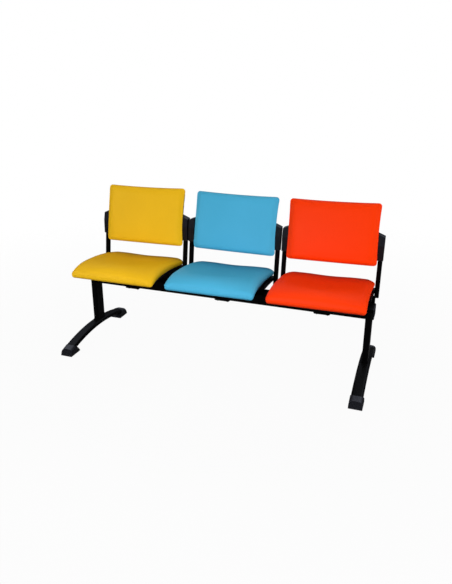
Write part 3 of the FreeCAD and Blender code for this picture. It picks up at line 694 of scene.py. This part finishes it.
@dataclass(frozen=True)
class Cushion:
    """A board's foam under a tight cover, drawn in between its corners."""

    place: Place
    role: Role
    slot: Slot
    mounting: Mounting
    cover: Cover = Cover()
    voxel: float = 0.005
    proud: float = 0.0025       # how far the stuffed cover stands off the plain solid
    slack: float = 0.001        # how much smaller it starts before it swells
    swell: float = 0.006        # most that a point may rise while it swells
    most_gain: float = 4.0      # most that the rise is scaled up to fill the slack
    even_rounds: int = 24
    at_board: float = 0.8       # least cosine to the board of the points it holds
    past_rim: float = 0.1       # how far round the rim the face's form reaches, as a cosine

    @property
    def form(self) -> PadForm:
        """How the stuffing swells and dips."""
        return SEAT_FORM if self.role is Role.SEAT else BACK_FORM

    @property
    def node(self) -> str:
        """The frame's solid that this cushion stands for."""
        return f"{self.place.value}_{self.role.value}_cushion"

    def build(self, material: bpy.types.Material) -> bpy.types.Object:
        """Make the cushion and put it in the place of its solid.

        Args:
            material: The cover's finish.

        Returns:
            The cushion.
        """
        pad = merged_copy(self.node, f"{self.place.value}_{self.role.value}_pad")
        apply_modifier(pad, "REMESH", mode="VOXEL", voxel_size=self.voxel, use_smooth_shade=True)
        apply_modifier(pad, "SHRINKWRAP", target=frame["nodes"][self.node])
        self._draw_in(pad)
        self._tighten(pad)
        apply_modifier(pad, "SMOOTH", factor=0.5, iterations=1)
        apply_modifier(pad, "SUBSURF", levels=1, render_levels=1)
        activate(pad)
        bpy.ops.object.shade_smooth()
        pad.data.materials.append(material)
        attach(pad, "root")
        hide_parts(self.node)
        return pad

    def _draw_in(self, pad: bpy.types.Object) -> None:
        """Give the face its shoulders and rolls, and let the upper edge sag.

        Args:
            pad: The cushion.
        """
        form = self.form
        mesh = pad.data
        points = points_of(mesh)
        low, high = points.min(axis=0), points.max(axis=0)
        middle, half = (low + high) / 2, (high - low) / 2
        across = np.abs(points[:, 0] - middle[0]) / half[0]
        along = points[:, 1] if self.role is Role.SEAT else points[:, 2]
        behind = along - along.min()
        rests = np.array(self.role.rests)
        face = smooth_step(-(normals_of(mesh) @ rests) + self.past_rim)
        points += np.outer(self._fall(across, behind) * face, rests)
        if self.role is Role.BACK:
            upper = smooth_step((points[:, 2] - middle[2]) / half[2])
            points[:, 2] -= form.sag * np.clip(1.0 - across ** 2, 0.0, 1.0) * upper
        swing = np.array(Matrix.Rotation(math.radians(self.mounting.turn), 3, "Y"))
        grown = 1.0 + self.mounting.spread / half * np.array((1, 0, self.role is Role.BACK))
        moved = ((points - middle) * grown) @ swing.T + middle
        set_points(mesh, moved + np.array((self.mounting.aside, 0, self.mounting.rise)))

    def _fall(self, across: np.ndarray, behind: np.ndarray) -> np.ndarray:
        """Work out how far the face falls below the plain solid.

        Args:
            across: Each point's place from the middle, 0, to a side, 1.
            behind: Each point's distance from the nose or the lower edge.

        Returns:
            Each point's fall, below zero where it rises.
        """
        form = self.form
        outer = smooth_step((across - form.shoulder) / (1.0 - form.shoulder))
        to_end = np.minimum(behind, behind.max() - behind) / form.end_reach
        dished = 1.0 - smooth_step(across / form.shoulder)
        if form.dish_run:
            dished *= smooth_step(behind / form.dish_run)
        places, rises = np.array(form.filling).T
        share = 1.0 - (1.0 - form.filled_side) * smooth_step(across)
        fall = form.dish * dished + form.side_roll * outer ** 2
        fall += form.end_roll * (1.0 - smooth_step(to_end))
        fall -= form.level + form.crown * (1.0 - across ** 2)
        return fall - share * np.interp(behind, places, rises)

    def _tighten(self, pad: bpy.types.Object) -> None:
        """Press the foam against its cover, and keep how far the cover rises.

        Args:
            pad: The cushion.
        """
        mesh = pad.data
        plain = points_of(mesh)
        outwards = normals_of(mesh)
        held = outwards @ np.array(self.role.rests) > self.at_board
        stuffed = np.where(held, 0.0, self.proud)
        first = np.where(held, 0.0, self.proud - self.slack)
        start = plain + outwards * first[:, None]
        set_points(mesh, start)
        self.cover.run(pad, np.nonzero(held)[0])
        rise = np.einsum("ij,ij->i", points_of(mesh) - start, outwards)
        rise = np.where(held, 0.0, np.clip(rise, 0.0, self.swell))
        mean = float(rise[~held].mean())
        LOG.info("%s swelled by %.1f mm on average", pad.name, 1000 * mean)
        stuffed = first + rise * self.slack / max(mean, self.slack / self.most_gain)
        set_points(mesh, plain + outwards * self._even(mesh, stuffed)[:, None])

    def _even(self, mesh: bpy.types.Mesh, change: np.ndarray) -> np.ndarray:
        """Spread each point's rise over its neighbours, so that no fold is sharp.

        Args:
            mesh: The cushion's mesh.
            change: How far each point rises.

        Returns:
            The softened rises.
        """
        ends = np.zeros(len(mesh.edges) * 2, dtype=np.int64)
        mesh.edges.foreach_get("vertices", ends)
        first, second = ends.reshape(-1, 2).T
        count = np.bincount(ends, minlength=len(change))
        for _ in range(self.even_rounds):
            total = np.bincount(first, change[second], len(change))
            total += np.bincount(second, change[first], len(change))
            change = (change + total / count) / 2
        return change


# Rails and fasteners


@dataclass(frozen=True)
class SeatRails:
    """The bars under the sides of each pan, with their lower edges turned down."""

    flange: float = 0.008       # how far the turned edge hangs at the rear
    slant: float = 0.035        # radians by which it is deeper towards the front
    tail: tuple[float, float] = (0.012, 0.006)     # reach backwards and rise of the rear end
    facing: float = 0.6         # least cosine between a chosen face and its direction

    def build(self, material: bpy.types.Material) -> list[bpy.types.Object]:
        """Make the six rails in the places of their solids.

        Args:
            material: The rails' finish.

        Returns:
            The rails.
        """
        rails = []
        for place in Place:
            for side in ("left", "right"):
                node = f"{place.value}_seat_rail_{side}"
                rail = merged_copy(node, f"{place.value}_flanged_rail_{side}")
                select_faces(rail, lambda face: -face.normal.z > self.facing)
                bpy.ops.mesh.extrude_region_move(TRANSFORM_OT_translate={"value": (0, 0, -self.flange)})
                rear = tuple(max(rail.bound_box, key=lambda corner: corner[1]))
                bpy.ops.transform.rotate(value=-self.slant, orient_axis="X", center_override=rear)
                bpy.ops.object.mode_set(mode="OBJECT")
                select_faces(rail, lambda face: face.normal.y > self.facing)
                bpy.ops.mesh.extrude_region_move(TRANSFORM_OT_translate={"value": (0, *self.tail)})
                bpy.ops.mesh.select_all(action="SELECT")
                bpy.ops.mesh.normals_make_consistent(inside=False)
                bpy.ops.object.mode_set(mode="OBJECT")
                rail.data.materials.append(material)
                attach(rail, "root")
                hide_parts(node)
                rails.append(rail)
        return rails


class HeadKind(Enum):
    """The two kinds of fastener head."""

    ROUND = "round, with a socket"
    HEXAGON = "hexagon, with a washer"


def select_level(item: bpy.types.Object, height: float, facing: int = 1) -> None:
    """Select the flat faces at one height, and leave the object in edit mode.

    Args:
        item: The object.
        height: The faces' height.
        facing: 1 for faces that look up, -1 for those that look down.
    """
    select_faces(item, lambda face: abs(face.center.z - height) < SAME_POINT
                 and face.normal.z * facing > FLAT_ON)


def round_rim(item: bpy.types.Object, top: float, width: float, segments: int) -> None:
    """Round the rim of an upright head's upper face.

    Args:
        item: The head.
        top: Height of the upper face.
        width: Width of the rounding.
        segments: Its steps.
    """
    select_level(item, top)
    bpy.ops.mesh.bevel(offset=width, segments=segments, affect="EDGES")
    bpy.ops.object.mode_set(mode="OBJECT")


def add_cylinder(sides: int, radius: float, height: float, low: float = 0.0) -> bpy.types.Object:
    """Add an upright cylinder round the Z axis, its place in its mesh.

    Args:
        sides: The number of its sides.
        radius: Its radius, or that of its corners.
        height: Its height.
        low: Height of its lower face.

    Returns:
        The cylinder.
    """
    deselect_all()
    bpy.ops.mesh.primitive_cylinder_add(vertices=sides, radius=radius, depth=height,
                                        location=(0, 0, low + height / 2))
    bpy.ops.object.transform_apply(location=True, rotation=True, scale=True)
    return bpy.context.object


def joined(items: Sequence[bpy.types.Object]) -> bpy.types.Object:
    """Join objects into the first of them.

    Args:
        items: The objects.

    Returns:
        The one object.
    """
    activate(items[0])
    for item in items:
        item.select_set(True)
    bpy.ops.object.join()
    return bpy.context.object


@dataclass(frozen=True)
class Fastener:
    """One kind of screw or bolt, at the places of its solids."""

    node: str
    kind: HeadKind
    head: float                 # across the head or its flats
    height: float               # from the head's underside, washer included, to its top
    shank: float
    sides: int = 32
    rim: float = 0.45           # rounding of a round head, as a share of its height
    socket: float = 0.0022      # radius of the socket
    sunk: float = 0.0018        # depth of the socket
    taper: float = 0.7          # width of the socket's bottom, as a share of its mouth
    chamfer: float = 0.0007     # chamfer of a hexagon
    washer: float = 0.0085      # radius of the washer
    washer_height: float = 0.0016
    washer_rim: float = 0.0003
    least_step: float = 0.0004  # how much wider than the shank a head is, at least
    smooth: float = 35.0        # degrees between faces that are shaded as one

    def build(self, material: bpy.types.Material) -> bpy.types.Object:
        """Model one of each length and set a copy in each place.

        Args:
            material: The plating.

        Returns:
            All of them, as one piece.
        """
        shape = self._round_screw if self.kind is HeadKind.ROUND else self._hexagon_bolt
        originals: dict[int, bpy.types.Object] = {}
        copies = []
        for points in solids_of(self.node):
            base, axis, length = self._measure(points)
            hundredths = round(length * 1e5)
            if hundredths not in originals:
                originals[hundredths] = shape(length)
            copy = own_copy(originals[hundredths])
            turn = axis.to_track_quat("Z", "Y").to_matrix().to_4x4()
            copy.data.transform(Matrix.Translation(base) @ turn)
            copies.append(copy)
        for original in originals.values():
            bpy.data.objects.remove(original)
        piece = joined(copies)
        piece.name = f"detailed_{self.node}"
        activate(piece)
        bpy.ops.object.shade_smooth_by_angle(angle=math.radians(self.smooth))
        piece.data.materials.append(material)
        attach(piece, "root")
        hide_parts(self.node)
        return piece

    def _measure(self, points: np.ndarray) -> tuple[Vector, Vector, float]:
        """Find how a solid stands.

        Args:
            points: The solid's vertices.

        Returns:
            The middle of its head's underside, the way it looks and its shank's length.
        """
        middle = points.mean(axis=0)
        axis = np.linalg.svd(points - middle, full_matrices=False)[2][0]
        along = (points - middle) @ axis
        radii = np.linalg.norm(points - middle - np.outer(along, axis), axis=1)
        wide = radii > self.shank / 2 + self.least_step
        if along[wide].mean() < (along.min() + along.max()) / 2:
            axis, along = -axis, -along
        under = along[wide].min()
        return Vector(middle + axis * under), Vector(axis), float(under - along.min())

    def _round_screw(self, length: float) -> bpy.types.Object:
        """Shape a domed head with a socket, its underside at the origin, on its shank.

        Args:
            length: The shank's length.

        Returns:
            The screw.
        """
        rim = self.height * self.rim
        screw = add_cylinder(self.sides, self.head / 2, self.height)
        round_rim(screw, self.height, rim, segments=4)
        select_level(screw, self.height)
        bpy.ops.mesh.inset(thickness=self.head / 2 - rim - self.socket)
        bpy.ops.mesh.extrude_region_move(TRANSFORM_OT_translate={"value": (0, 0, -self.sunk)})
        bpy.ops.transform.resize(value=(self.taper, self.taper, 1.0))
        bpy.ops.object.mode_set(mode="OBJECT")
        self._add_shank(screw, self.head / 2, length)
        return screw

    def _hexagon_bolt(self, length: float) -> bpy.types.Object:
        """Shape a chamfered hexagon on a washer that lies at the origin, on its shank.

        Args:
            length: The shank's length.

        Returns:
            The bolt.
        """
        head_height = self.height - self.washer_height
        corner = self.head / math.sqrt(3.0)
        bolt = add_cylinder(sides=6, radius=corner, height=head_height, low=self.washer_height)
        round_rim(bolt, self.height, self.chamfer, segments=2)
        washer = add_cylinder(self.sides, self.washer, self.washer_height)
        round_rim(washer, self.washer_height, self.washer_rim, segments=1)
        self._add_shank(washer, self.washer, length)
        return joined((bolt, washer))

    def _add_shank(self, item: bpy.types.Object, radius: float, length: float) -> None:
        """Draw the shank out of the face at the origin.

        Args:
            item: The head or the washer.
            radius: Its radius.
            length: The shank's length.
        """
        select_level(item, 0.0, facing=-1)
        bpy.ops.mesh.inset(thickness=radius - self.shank / 2)
        bpy.ops.mesh.extrude_region_move(TRANSFORM_OT_translate={"value": (0, 0, -length)})
        bpy.ops.object.mode_set(mode="OBJECT")


def solids_of(node: str) -> list[np.ndarray]:
    """Take a node of several solids apart.

    Args:
        node: The node's name.

    Returns:
        The vertices of each solid.
    """
    activate(merged_copy(node, f"{node}_apart"))
    bpy.ops.object.mode_set(mode="EDIT")
    bpy.ops.mesh.select_all(action="SELECT")
    bpy.ops.mesh.separate(type="LOOSE")
    bpy.ops.object.mode_set(mode="OBJECT")
    parts = sorted(bpy.context.selected_objects, key=lambda part: part.name)
    found = [points_of(part.data) for part in parts]
    for part in parts:
        bpy.data.objects.remove(part)
    return found


@dataclass(frozen=True)
class SteelAndPlastic:
    """The solids of the frame that keep their shape, and the finish of each."""

    materials: dict[Slot, bpy.types.Material]

    def dress(self) -> int:
        """Give each shown solid its finish.

        Returns:
            How many solids were dressed.
        """
        slots = {part["node"]: part["material_slot"] for part in frame["record"]["subparts"]}
        dressed = 0
        for name, item in frame["nodes"].items():
            if item.hide_render:
                continue
            material = self.materials[Slot(slots[name])]
            item.data.materials.clear()
            item.data.materials.append(material)
            dressed += 1
        return dressed


# The studio


@dataclass(frozen=True)
class Softbox:
    """A square lamp that faces the bench."""

    name: str
    azimuth: float              # degrees from the front, towards the photograph's right
    elevation: float
    distance: float
    size: float
    power: float
    tint: Colour = WHITE

    def place(self, target: Vector) -> bpy.types.Object:
        """Set up the lamp.

        Args:
            target: What it faces.

        Returns:
            The lamp.
        """
        turn = math.radians(self.azimuth)
        rise = math.radians(self.elevation)
        away = Vector((math.sin(turn) * math.cos(rise), -math.cos(turn) * math.cos(rise), math.sin(rise)))
        deselect_all()
        bpy.ops.object.light_add(type="AREA", location=target + away * self.distance)
        lamp = bpy.context.object
        lamp.name = self.name
        lamp.rotation_euler = away.to_track_quat("Z", "Y").to_euler()
        lamp.data.size = self.size
        lamp.data.energy = self.power
        lamp.data.color = self.tint
        lamp.visible_camera = False
        lamp.visible_glossy = False
        return lamp


@dataclass(frozen=True)
class Viewpoint:
    """The photograph's camera, as worked out from the bench's lines."""

    place: Vector = Vector((0.98224, -2.70295, 1.52429))
    yaw: float = 19.32          # degrees to the photograph's left
    pitch: float = 19.82        # degrees downwards
    roll: float = 0.06
    focal_pixels: float = 573.99
    middle: tuple[float, float] = (225.57, 271.30)     # pixel that it looks straight at
    width: int = 452            # the photograph's size in pixels
    height: int = 584
    sensor: float = 36.0        # millimetres along the photograph's height

    def set_up(self) -> bpy.types.Object:
        """Make the camera and use it.

        Returns:
            The camera.
        """
        deselect_all()
        bpy.ops.object.camera_add(location=self.place)
        camera = bpy.context.object
        camera.name = "photograph_view"
        turned = (Matrix.Rotation(math.radians(self.yaw), 3, "Z")
                  @ Matrix.Rotation(math.radians(90.0 - self.pitch), 3, "X")
                  @ Matrix.Rotation(math.radians(self.roll), 3, "Z"))
        camera.rotation_euler = turned.to_euler()
        camera.data.sensor_width = self.sensor
        camera.data.lens = self.sensor * self.focal_pixels / self.height
        camera.data.shift_x = (self.width / 2 - self.middle[0]) / self.height
        camera.data.shift_y = (self.middle[1] - self.height / 2) / self.height
        bpy.context.scene.camera = camera
        return camera


@dataclass(frozen=True)
class Studio:
    """A pale floor, soft lamps and the camera."""

    lamps: tuple[Softbox, ...]
    floor_radius: float = 4.0
    clear_radius: float = 0.9   # where the floor begins to fade
    floor_colour: Colour = (0.22, 0.22, 0.22)
    glow: float = 1.0           # the floor's own light, which only the camera sees
    glow_share: float = 0.96    # how much of what the camera sees of it is that light
    ambient: float = 0.03
    overhead: float = 2.2       # bright ceiling, seen in glossy surfaces alone
    sky: Colour = (0.78, 0.84, 1.0)
    backdrop: float = 1.0       # light of the backdrop, which only the camera sees

    def set_up(self) -> None:
        """Build the studio round the bench."""
        target = (CAD_BOX[0] + CAD_BOX[1]) / 2
        for lamp in self.lamps:
            lamp.place(target)
        self._floor()
        self._surroundings()
        Viewpoint().set_up()
        bpy.context.scene.view_settings.view_transform = "Standard"

    def _floor(self) -> None:
        """A disc under the bench that fades into the backdrop."""
        deselect_all()
        bpy.ops.mesh.primitive_circle_add(vertices=96, radius=self.floor_radius, fill_type="NGON")
        floor = bpy.context.object
        floor.name = "studio_floor"
        material, graph = new_material("studio floor")
        place = graph.add("TexCoord").outputs["Object"]
        reach = graph.add("VectorMath", {0: place}, operation="LENGTH").outputs["Value"]
        fade = graph.spread(reach, 0.0, 1.0, self.clear_radius, self.floor_radius * 0.8)
        mottle = graph.add("TexNoise", {"Vector": place, "Scale": 3.0, "Detail": 2.0})
        shade = graph.spread(mottle.outputs["Fac"], 0.55, 0.62)
        paint = graph.add("BsdfPrincipled", {"Base Color": opaque(self.floor_colour),
                                             "Roughness": shade, "Specular IOR Level": 0.2})
        glow = graph.add("Emission", {"Color": opaque(WHITE), "Strength": self.glow})
        seen = graph.math("MULTIPLY", graph.add("LightPath").outputs["Is Camera Ray"], self.glow_share)
        lit = graph.add("MixShader", {0: seen, 1: paint.outputs[0], 2: glow.outputs[0]})
        gone = graph.add("BsdfTransparent")
        surface = graph.add("MixShader", {0: fade, 1: lit.outputs[0], 2: gone.outputs[0]})
        graph.add("OutputMaterial", {"Surface": surface.outputs[0]})
        floor.data.materials.append(material)

    def _surroundings(self) -> None:
        """Soft light from all round, and a pale backdrop behind the bench."""
        world = bpy.data.worlds.new("studio")
        bpy.context.scene.world = world
        world.use_nodes = True
        graph = Graph(world.node_tree)
        path = graph.add("LightPath").outputs
        height = graph.add("SeparateXYZ", {0: graph.add("TexCoord").outputs["Generated"]}).outputs["Z"]
        overhead = graph.spread(height, 0.0, self.overhead, 0.35, 0.9)
        soft = graph.math("MULTIPLY_ADD", overhead, path["Is Glossy Ray"], self.ambient)
        strength = graph.add("Mix", {0: path["Is Camera Ray"], 2: soft, 3: self.backdrop}).outputs[0]
        colour = graph.mix(path["Is Camera Ray"], opaque(self.sky), opaque(WHITE))
        light = graph.add("Background", {"Color": colour, "Strength": strength})
        graph.add("OutputWorld", {"Surface": light.outputs[0]})


LAMPS = (
    Softbox("left_softbox", azimuth=-60.0, elevation=16.0, distance=3.3, size=1.8, power=47.0),
    Softbox("right_softbox", azimuth=66.0, elevation=15.0, distance=3.4, size=1.8, power=70.0),
    Softbox("front_softbox", azimuth=0.0, elevation=16.0, distance=1.5, size=1.2, power=13.5),
    Softbox("ceiling_softbox", azimuth=180.0, elevation=72.0, distance=3.4, size=2.0, power=30.0,
            tint=(1.0, 0.88, 0.66)),
)

FINISHES = {
    Slot.YELLOW: Leatherette("yellow leatherette", light=(0.86, 0.50, 0.013), deep=(0.82, 0.47, 0.011)),
    Slot.BLUE: Leatherette("blue leatherette", light=(0.073, 0.43, 0.68), deep=(0.066, 0.41, 0.65)),
    Slot.RED: Leatherette("red leatherette", light=(0.99, 0.046, 0.002), deep=(0.97, 0.043, 0.002)),
    Slot.STEEL: PowderCoat("black powder coat", colour=(0.0014, 0.0014, 0.0015),
                           worn=(0.007, 0.0065, 0.0065)),
    # the plastic's second colour is a painted bluish highlight along its edges
    Slot.PLASTIC: MouldedPlastic("black moulded plastic", colour=(0.0040, 0.0042, 0.0060),
                                 painted_edge_highlight=(0.012, 0.013, 0.018)),
    Slot.PLYWOOD: BirchPly("birch plywood", light=(0.62, 0.44, 0.26), dark=(0.38, 0.23, 0.11)),
    Slot.ZINC: ZincPlate("zinc plate", bright=(0.62, 0.63, 0.64), dull=(0.44, 0.45, 0.47)),
}

FASTENERS = (
    Fastener("back_screws", HeadKind.ROUND, head=0.0095, height=0.0032, shank=0.005),
    Fastener("seat_screws", HeadKind.ROUND, head=0.0095, height=0.0032, shank=0.005),
    Fastener("clamp_bolts", HeadKind.HEXAGON, head=0.013, height=0.0053, shank=0.008),
    Fastener("leg_bolts", HeadKind.HEXAGON, head=0.013, height=0.0053, shank=0.008),
)

COLOURS = {Place.LEFT: Slot.YELLOW, Place.MIDDLE: Slot.BLUE, Place.RIGHT: Slot.RED}
MOUNTINGS = {
    (Role.SEAT, Place.LEFT): Mounting(turn=-0.4, rise=-0.0005, spread=0.001),
    (Role.SEAT, Place.MIDDLE): Mounting(turn=-0.6, aside=0.004, rise=0.0015, spread=-0.002),
    (Role.SEAT, Place.RIGHT): Mounting(turn=-0.6, rise=0.0025),
    (Role.BACK, Place.LEFT): Mounting(turn=-0.8, spread=0.0055),
    (Role.BACK, Place.MIDDLE): Mounting(turn=0.3, aside=0.006, spread=0.0015),
    (Role.BACK, Place.RIGHT): Mounting(turn=-0.9, aside=-0.001, rise=0.0015, spread=0.003),
}


def cushions() -> Iterable[Cushion]:
    """The six cushions, seats first.

    Yields:
        Each cushion, not built yet.
    """
    for role in Role:
        for place in Place:
            yield Cushion(place, role, COLOURS[place], MOUNTINGS[role, place])


def main() -> None:
    """Build the bench's looks, piece by piece."""
    logging.basicConfig(level=logging.INFO, format="%(name)s: %(message)s")
    groups = Groups()
    materials = {slot: finish.material(groups) for slot, finish in FINISHES.items()}
    LOG.info("%d finishes", len(materials))
    for cushion in cushions():
        pad = cushion.build(materials[cushion.slot])
        LOG.info("%s has %d faces", pad.name, len(pad.data.polygons))
    rails = SeatRails().build(materials[Slot.STEEL])
    LOG.info("%d rails", len(rails))
    for fastener in FASTENERS:
        piece = fastener.build(materials[Slot.ZINC])
        LOG.info("%s has %d faces", piece.name, len(piece.data.polygons))
    dressed = SteelAndPlastic(materials).dress()
    LOG.info("%d solids dressed", dressed)
    Studio(LAMPS).set_up()


if __name__ == "__main__":
    main()
